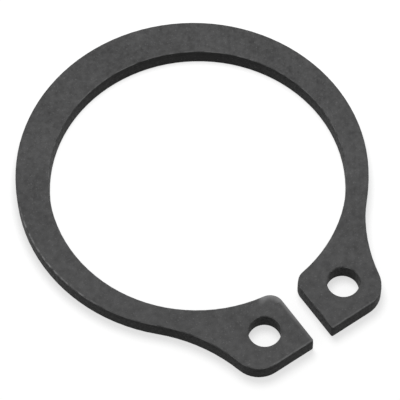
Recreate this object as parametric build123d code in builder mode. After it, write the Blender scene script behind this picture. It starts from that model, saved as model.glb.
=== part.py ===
"""External retaining ring for a 20 mm shaft: one stamped piece of spring steel.

The ring lies flat, with its middle plane on Z = 0 and the axis of its bore on Z.
The slot between the two lugs opens towards -Y, and the crown of the band is at +Y.
"""

import os
from math import isclose, radians, tan

from build123d import *

# Ring, millimetres
bore_diameter = 18.5  # free bore, before the ring is sprung over its shaft
thickness = 1.2
crown_width = 2.38  # radial width of the band at the crown, its widest
heel_width = 1.18  # width that the band tapers down to towards the slot

# Lugs and slot
lug_reach = 4.05  # from the bore wall to the flat ends of the lugs
lug_pair_width = 10.5  # across both lugs
lug_corner_radius = 1.75
lug_root_radius = 10.4  # hollow flank that joins each lug to the band
slot_width = 1.36
slot_mouth_radius = 0.9  # where the slot opens into the bore
slot_tip_radius = 0.12  # where the slot leaves the ends of the lugs

# Holes for the points of the pliers
hole_diameter = 2.0
hole_spacing = 5.85
hole_reach = 1.88  # from the bore wall to the line through both holes
pierce_shift = 0.15  # both holes are pierced this far to one side of the slot
hole_rim_break = 0.06

# Blanked edge: die roll, straight land, drafted fracture zone, tumbled burr
fracture_height = 0.42
fracture_draft = 3.0  # degrees
die_roll_radius = 0.09
burr_radius = 0.06

# Derived
bore_radius = bore_diameter / 2
band_radius = bore_radius + (crown_width + heel_width) / 2
band_offset = (crown_width - heel_width) / 2  # the outer circle sits towards the crown
crown = (0, band_offset + band_radius)
lug_end = -(bore_radius + lug_reach)
lug_corner_centre = (lug_pair_width / 2 - lug_corner_radius, lug_end + lug_corner_radius)
lug_corner_foot = (lug_corner_centre[0], lug_end)
slot_length = slot_width - lug_end  # from the bore's axis to clear of the lug ends
hole_line = -(bore_radius + hole_reach)
hole_radius = hole_diameter / 2
fracture_inset = fracture_height * tan(radians(fracture_draft))


def slot_corners(sketch):
    """Corners of the slot, in groups from the lug ends up to the bore."""
    corners = sketch.vertices().filter_by(
        lambda corner: isclose(abs(corner.X), slot_width / 2, abs_tol=1e-6)
    )
    return corners.group_by(Axis.Y)


with BuildPart() as retaining_ring:
    with BuildSketch(Plane.XY.offset(-thickness / 2)) as blank:
        # Right half of the outline: band, hollow flank, lug corner and lug end
        with BuildLine():
            band_circle = CenterArc((0, band_offset), band_radius, -90, 180, mode=Mode.PRIVATE)
            corner_circle = CenterArc(
                lug_corner_centre, lug_corner_radius, -90, 180, mode=Mode.PRIVATE
            )
            flank = ConstrainedArcs(
                (band_circle, Tangency.OUTSIDE),
                (corner_circle, Tangency.OUTSIDE),
                radius=lug_root_radius,
                selector=lambda arcs: arcs.sort_by(Edge.length)[0],
            ).edge()
            TangentArc(flank @ 0, crown, tangent=-(flank % 0))
            TangentArc(flank @ 1, lug_corner_foot, tangent=flank % 1)
            Line(lug_corner_foot, (0, lug_end))
            Line((0, lug_end), crown)
        make_face()
        mirror(about=Plane.YZ)

        # Bore, and the slot that opens it between the lugs
        Circle(bore_radius, mode=Mode.SUBTRACT)
        Rectangle(slot_width, slot_length, align=(Align.CENTER, Align.MAX), mode=Mode.SUBTRACT)
        fillet(slot_corners(blank)[-1], slot_mouth_radius)
        fillet(slot_corners(blank)[0], slot_tip_radius)
    extrude(amount=thickness)

    # Blanked edge, all round: die roll at the lower face, and above the straight land a
    # fracture zone that leans into the steel, up to the tumbled burr of the upper face
    fillet(retaining_ring.edges().group_by(Axis.Z)[0], die_roll_radius)
    upper_face = retaining_ring.faces().sort_by(Axis.Z)[-1]
    chamfer(upper_face.edges(), fracture_inset, fracture_height, reference=upper_face)
    fillet(retaining_ring.edges().group_by(Axis.Z)[-1], burr_radius)

    # Plier holes, pierced straight through, with both rims broken
    with Locations((pierce_shift, hole_line)):
        with GridLocations(hole_spacing, 0, 2, 1):
            Hole(hole_radius)
    hole_rims = retaining_ring.edges(Select.LAST).filter_by(
        lambda edge: edge.geom_type == GeomType.CIRCLE and isclose(edge.radius, hole_radius)
    )
    chamfer(hole_rims, hole_rim_break)

retaining_ring.part.label = "retaining_ring"

os.makedirs("parts", exist_ok=True)
export_step(retaining_ring.part, "parts/retaining_ring.step")
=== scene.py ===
"""Looks for a lug-type retaining ring: phosphated spring steel on a white sheet, in metres."""

from math import cos, radians, sin, sqrt

import bpy
from mathutils import Matrix, Vector


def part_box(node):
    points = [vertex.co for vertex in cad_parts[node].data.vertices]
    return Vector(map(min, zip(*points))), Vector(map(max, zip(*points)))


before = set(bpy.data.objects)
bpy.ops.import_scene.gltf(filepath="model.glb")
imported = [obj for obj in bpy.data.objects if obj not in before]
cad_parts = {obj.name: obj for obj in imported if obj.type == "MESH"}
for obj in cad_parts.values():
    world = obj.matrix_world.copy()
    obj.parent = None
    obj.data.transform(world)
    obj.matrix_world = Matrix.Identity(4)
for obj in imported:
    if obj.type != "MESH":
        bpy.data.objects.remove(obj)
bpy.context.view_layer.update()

MM = 0.001
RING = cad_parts["retaining_ring"]
ring_low, ring_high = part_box("retaining_ring")

# Ring, read off its box
FACE_HEIGHT = ring_high[2]
LUG_END = ring_low[1]
BAND_RADIUS = ring_high[0]
BAND_CENTRE = ring_high[1] - BAND_RADIUS

# Slot, at its mouth on the bore
BORE_RADIUS = 9.25 * MM
HALF_SLOT = 0.68 * MM
MOUTH_RADIUS = 0.90 * MM
MOUTH_X = -(HALF_SLOT + MOUTH_RADIUS)
MOUTH_Y = -sqrt((BORE_RADIUS + MOUTH_RADIUS) ** 2 - MOUTH_X ** 2)
CORNER_SHIFT = 0.6 / sqrt(2) * MM

# Camera
VIEW_AZIMUTH = -33.68
VIEW_ELEVATION = 60.61
VIEW_DISTANCE = 150.43 * MM
VIEW_AIM = Vector((-0.436, -0.894, -0.6)) * MM
VIEW_ROLL = -1.121
LENS_MM = 216.7

# Light: strengths at which white paper renders a little under white
SKY_STRENGTH = 0.35
LAMP_ELEVATION = 76
LAMP_DISTANCE = 58 * MM
LAMP_SIZE = 32 * MM
LAMP_POWER = 0.0205
SHEET_COLOUR = 0.50
SHEET_GLOW = 0.64
SHEET_SIDE = 2.0

# Black phosphate over steel, with the sizes of its pattern
COAT_COLOUR = (0.065, 0.065, 0.0655)
GRAIN = 0.17 * MM
MOTTLE = 0.36 * MM
BLOTCH = 2.2 * MM
STREAK_LENGTH = 2.6 * MM
STREAK_WIDTH = 0.26 * MM
STREAK_TURN = 56.2
SPECK = 0.09 * MM
# Widths of the light lines on the rim, lug ends and slot edge: worn coat, and on the rim and slot
# also painted highlight
WEAR_AND_HIGHLIGHT_WIDTH = 0.15 * MM
SLOT_WEAR_AND_HIGHLIGHT_WIDTH = 0.32 * MM
EDGE_ROUND = 0.06 * MM
# Painted shade on the walls: their colour as a fraction of the face colour
PAINTED_WALL_SHADE = 0.10
SMOOTHEST = 0.48
ROUGHEST = 0.68
METALLIC = 0.2
SPECULAR = 0.1
BUMP_STRENGTH = 0.35
BUMP_DEPTH = 0.012 * MM


def spherical(azimuth, elevation, distance):
    """Offset at an azimuth from -Y towards +X, and an elevation above the floor, in degrees."""
    a = radians(azimuth)
    e = radians(elevation)
    return distance * Vector((sin(a) * cos(e), -cos(a) * cos(e), sin(e)))


def add_camera():
    offset = spherical(VIEW_AZIMUTH, VIEW_ELEVATION, VIEW_DISTANCE)
    data = bpy.data.cameras.new("view_camera")
    data.lens = LENS_MM
    data.sensor_width = 36
    data.clip_start = 10 * MM
    camera = bpy.data.objects.new("view_camera", data)
    turn = offset.to_track_quat("Z", "Y").to_matrix().to_4x4()
    roll = Matrix.Rotation(radians(VIEW_ROLL), 4, "Z")
    camera.matrix_world = Matrix.Translation(VIEW_AIM + offset) @ turn @ roll
    bpy.context.scene.collection.objects.link(camera)
    bpy.context.scene.camera = camera


def add_lamp():
    """Soft round lamp above and behind the crown."""
    data = bpy.data.lights.new("soft_lamp", "AREA")
    data.shape = "DISK"
    data.size = LAMP_SIZE
    data.energy = LAMP_POWER
    lamp = bpy.data.objects.new("soft_lamp", data)
    offset = spherical(VIEW_AZIMUTH + 180, LAMP_ELEVATION, LAMP_DISTANCE)
    lamp.location = offset
    lamp.rotation_euler = offset.to_track_quat("Z", "Y").to_euler()
    lamp.visible_camera = False
    bpy.context.scene.collection.objects.link(lamp)


def combine(nodes, operation, first, second=0):
    """A Math node on two values, each a socket or a number."""
    math = nodes.new("ShaderNodeMath")
    math.operation = operation
    for socket, value in zip(math.inputs, (first, second)):
        if isinstance(value, (int, float)):
            socket.default_value = value
        else:
            nodes.id_data.links.new(value, socket)
    return math.outputs[0]


def product(nodes, *factors):
    """All the factors multiplied together."""
    whole = factors[0]
    for factor in factors[1:]:
        whole = combine(nodes, "MULTIPLY", whole, factor)
    return whole


def background_rays(nodes):
    """1 for camera, mirror and glass rays, 0 for the rays that light the ring."""
    rays = nodes.new("ShaderNodeLightPath").outputs
    mirror_or_camera = combine(nodes, "MAXIMUM", rays["Is Camera Ray"], rays["Is Glossy Ray"])
    return combine(nodes, "MAXIMUM", mirror_or_camera, rays["Is Transmission Ray"])


def add_sky():
    """Even white light all round, white behind the sheet."""
    world = bpy.data.worlds.new("white_room")
    world.use_nodes = True
    nodes = world.node_tree.nodes
    nodes.clear()
    links = world.node_tree.links
    mix = nodes.new("ShaderNodeMixShader")
    links.new(background_rays(nodes), mix.inputs[0])
    for socket, strength in ((1, SKY_STRENGTH), (2, 1)):
        background = nodes.new("ShaderNodeBackground")
        background.inputs["Color"].default_value = (1, 1, 1, 1)
        background.inputs["Strength"].default_value = strength
        links.new(background.outputs[0], mix.inputs[socket])
    output = nodes.new("ShaderNodeOutputWorld")
    links.new(mix.outputs[0], output.inputs["Surface"])
    bpy.context.scene.world = world


def sheet_material():
    """Pale matt sheet that shows white where no shadow falls."""
    material = bpy.data.materials.new("white_sheet")
    material.use_nodes = True
    nodes = material.node_tree.nodes
    nodes.clear()
    links = material.node_tree.links
    matt = nodes.new("ShaderNodeBsdfDiffuse")
    matt.inputs["Color"].default_value = (SHEET_COLOUR, SHEET_COLOUR, SHEET_COLOUR, 1)
    glow = nodes.new("ShaderNodeEmission")
    glow.inputs["Color"].default_value = (1, 1, 1, 1)
    links.new(product(nodes, background_rays(nodes), SHEET_GLOW), glow.inputs["Strength"])
    add = nodes.new("ShaderNodeAddShader")
    links.new(matt.outputs[0], add.inputs[0])
    links.new(glow.outputs[0], add.inputs[1])
    output = nodes.new("ShaderNodeOutputMaterial")
    links.new(add.outputs[0], output.inputs["Surface"])
    return material


def add_sheet():
    bpy.ops.object.select_all(action="DESELECT")
    bpy.ops.mesh.primitive_plane_add(size=SHEET_SIDE, location=(0, 0, ring_low[2]))
    sheet = bpy.context.object
    sheet.name = "sheet"
    sheet.data.materials.append(sheet_material())


def pattern(nodes, size, turn=0.0, shift=0.0, detail=2.0):
    """Noise from 0 to 1 whose spots have the given sides, turned about Z and moved by shift in mm."""
    coordinates = nodes.new("ShaderNodeTexCoord")
    mapping = nodes.new("ShaderNodeMapping")
    mapping.vector_type = "TEXTURE"
    mapping.inputs["Location"].default_value = (shift * MM, 0, 0)
    mapping.inputs["Rotation"].default_value = (0, 0, radians(turn))
    mapping.inputs["Scale"].default_value = size
    noise = nodes.new("ShaderNodeTexNoise")
    noise.inputs["Scale"].default_value = 1
    noise.inputs["Detail"].default_value = detail
    links = nodes.id_data.links
    links.new(coordinates.outputs["Object"], mapping.inputs["Vector"])
    links.new(mapping.outputs["Vector"], noise.inputs["Vector"])
    return noise.outputs["Fac"]


def spots(nodes, side, shift=0.0, detail=2.0):
    """Noise with spots as long as they are wide."""
    return pattern(nodes, (side, side, side), shift=shift, detail=detail)


def band(nodes, value, low, high, to_low=0.0, to_high=1.0):
    """A value carried smoothly from the range low to high onto another range."""
    ramp = nodes.new("ShaderNodeMapRange")
    ramp.interpolation_type = "SMOOTHSTEP"
    ramp.inputs["From Min"].default_value = low
    ramp.inputs["From Max"].default_value = high
    ramp.inputs["To Min"].default_value = to_low
    ramp.inputs["To Max"].default_value = to_high
    nodes.id_data.links.new(value, ramp.inputs["Value"])
    return ramp.outputs["Result"]


def place(nodes, axis):
    """One coordinate of a point on the ring."""
    coordinates = nodes.new("ShaderNodeTexCoord")
    split = nodes.new("ShaderNodeSeparateXYZ")
    nodes.id_data.links.new(coordinates.outputs["Object"], split.inputs[0])
    return split.outputs[axis]


def distance_from(nodes, x, y):
    """Distance in plan from an upright line."""
    across = combine(nodes, "SUBTRACT", place(nodes, "X"), x)
    along = combine(nodes, "SUBTRACT", place(nodes, "Y"), y)
    squares = combine(nodes, "ADD", product(nodes, across, across), product(nodes, along, along))
    return combine(nodes, "SQRT", squares)


def height_from_middle(nodes):
    """Distance from the ring's middle plane: largest on its two faces."""
    return combine(nodes, "ABSOLUTE", place(nodes, "Z"))


def on_face(nodes):
    """1 on the two faces, falling to 0 over their rounded edges."""
    return band(nodes, height_from_middle(nodes), FACE_HEIGHT - EDGE_ROUND, FACE_HEIGHT)


def edge_wear_and_highlight(nodes):
    """Broken light line on the rounded edges: partly coat worn off by tumbling, partly a painted
    highlight.
    """
    height = height_from_middle(nodes)
    low_side = band(nodes, height, FACE_HEIGHT - 1.2 * EDGE_ROUND, FACE_HEIGHT - 0.7 * EDGE_ROUND)
    high_side = band(nodes, height, FACE_HEIGHT - 0.25 * EDGE_ROUND, FACE_HEIGHT, 1, 0)
    broken = band(nodes, spots(nodes, 0.7 * MM, shift=5), 0.38, 0.62)
    return product(nodes, low_side, high_side, broken)


def rim_scuff_and_highlight(nodes):
    """Bright broken line on the outer rim of the left limb: partly a scuff, partly a painted
    highlight.
    """
    from_centre = distance_from(nodes, 0, BAND_CENTRE)
    rim = band(nodes, from_centre, BAND_RADIUS - WEAR_AND_HIGHLIGHT_WIDTH, BAND_RADIUS - 0.2 * WEAR_AND_HIGHLIGHT_WIDTH)
    left = combine(nodes, "LESS_THAN", place(nodes, "X"), 0)
    start = band(nodes, place(nodes, "Y"), -5 * MM, -2 * MM)
    end = band(nodes, place(nodes, "Y"), 3 * MM, 5.5 * MM, 1, 0)
    broken = band(nodes, spots(nodes, 0.5 * MM, shift=7), 0.40, 0.60)
    return product(nodes, rim, left, start, end, broken, on_face(nodes))


def lug_end_rub(nodes):
    """Faint worn line along the ends of both lugs."""
    end = band(nodes, place(nodes, "Y"), LUG_END + 0.3 * WEAR_AND_HIGHLIGHT_WIDTH, LUG_END + WEAR_AND_HIGHLIGHT_WIDTH, 1, 0)
    return product(nodes, end, on_face(nodes))


def slot_wear_and_highlight(nodes):
    """Soft light round the mouth corner of the left lug and down its slot edge: partly worn coat,
    partly a painted highlight.
    """
    left = combine(nodes, "LESS_THAN", place(nodes, "X"), 0)
    below_mouth = combine(nodes, "LESS_THAN", place(nodes, "Y"), MOUTH_Y)
    edge = band(nodes, place(nodes, "X"), -HALF_SLOT - SLOT_WEAR_AND_HIGHLIGHT_WIDTH, -HALF_SLOT)
    fade = band(nodes, place(nodes, "Y"), LUG_END, MOUTH_Y, 0.3, 1.0)
    straight = product(nodes, left, below_mouth, edge, fade)
    from_corner_centre = distance_from(nodes, MOUTH_X, MOUTH_Y)
    crescent = band(nodes, from_corner_centre, MOUTH_RADIUS - 1.6 * SLOT_WEAR_AND_HIGHLIGHT_WIDTH, MOUTH_RADIUS)
    from_corner = distance_from(nodes, MOUTH_X + CORNER_SHIFT, MOUTH_Y + CORNER_SHIFT)
    at_corner = band(nodes, from_corner, 0.5 * MOUTH_RADIUS, 1.1 * MOUTH_RADIUS, 1, 0)
    above_mouth = combine(nodes, "SUBTRACT", 1, below_mouth)
    corner = product(nodes, crescent, at_corner, above_mouth)
    return product(nodes, combine(nodes, "MAXIMUM", straight, corner), on_face(nodes))


def specks(nodes):
    """Bright crystals of the coat."""
    return band(nodes, spots(nodes, SPECK, shift=9, detail=0), 0.70, 0.80)


def coat_tone(nodes, grain):
    """Brightness of the coat: cloudy on the faces, darkened on the walls as painted shade, light
    where worn and where edge highlights are painted.
    """
    streak_size = (STREAK_LENGTH, STREAK_WIDTH, STREAK_WIDTH)
    on_right_limb = band(nodes, place(nodes, "X"), 3 * MM, 8 * MM, 0.15, 0.50)
    clouds = (
        (grain, 0.95),
        (spots(nodes, MOTTLE, shift=11), 0.80),
        (spots(nodes, BLOTCH, shift=3), 0.50),
        (pattern(nodes, streak_size, turn=STREAK_TURN), on_right_limb),
    )
    tone = 1.0
    for value, depth in clouds:
        change = product(nodes, combine(nodes, "SUBTRACT", value, 0.5), depth)
        tone = combine(nodes, "ADD", change, tone)
    # Painted shade: the walls below the rounded edges are darkened to a fraction of the face colour,
    # standing in for the shade the lamp leaves on them.
    wall_top = FACE_HEIGHT - 0.5 * EDGE_ROUND
    painted_wall_shade = band(nodes, height_from_middle(nodes), wall_top - EDGE_ROUND, wall_top, PAINTED_WALL_SHADE, 1.0)
    tone = product(nodes, tone, painted_wall_shade)
    # Specks and worn lines lighten the coat, and so do the painted highlights on the edges, rim and
    # slot.
    wear_and_highlights = ((specks, 0.5), (edge_wear_and_highlight, 1.2), (rim_scuff_and_highlight, 2.2), (lug_end_rub, 0.8), (slot_wear_and_highlight, 2.0))
    for mask, depth in wear_and_highlights:
        tone = combine(nodes, "ADD", product(nodes, mask(nodes), depth), tone)
    return tone


def steel_material():
    """Black phosphate and oil over spring steel."""
    material = bpy.data.materials.new("phosphated_spring_steel")
    material.use_nodes = True
    nodes = material.node_tree.nodes
    links = material.node_tree.links
    shader = nodes["Principled BSDF"]
    grain = spots(nodes, GRAIN, detail=3)
    colour = nodes.new("ShaderNodeVectorMath")
    colour.operation = "SCALE"
    colour.inputs[0].default_value = COAT_COLOUR
    links.new(coat_tone(nodes, grain), colour.inputs["Scale"])
    links.new(colour.outputs[0], shader.inputs["Base Color"])
    links.new(band(nodes, grain, 0.2, 0.8, SMOOTHEST, ROUGHEST), shader.inputs["Roughness"])
    bump = nodes.new("ShaderNodeBump")
    bump.inputs["Strength"].default_value = BUMP_STRENGTH
    bump.inputs["Distance"].default_value = BUMP_DEPTH
    links.new(grain, bump.inputs["Height"])
    links.new(bump.outputs["Normal"], shader.inputs["Normal"])
    shader.inputs["Metallic"].default_value = METALLIC
    shader.inputs["Specular IOR Level"].default_value = SPECULAR
    return material


add_camera()
add_sky()
add_lamp()
add_sheet()
RING.material_slots[0].material = steel_material()
bpy.context.scene.view_settings.view_transform = "Standard"
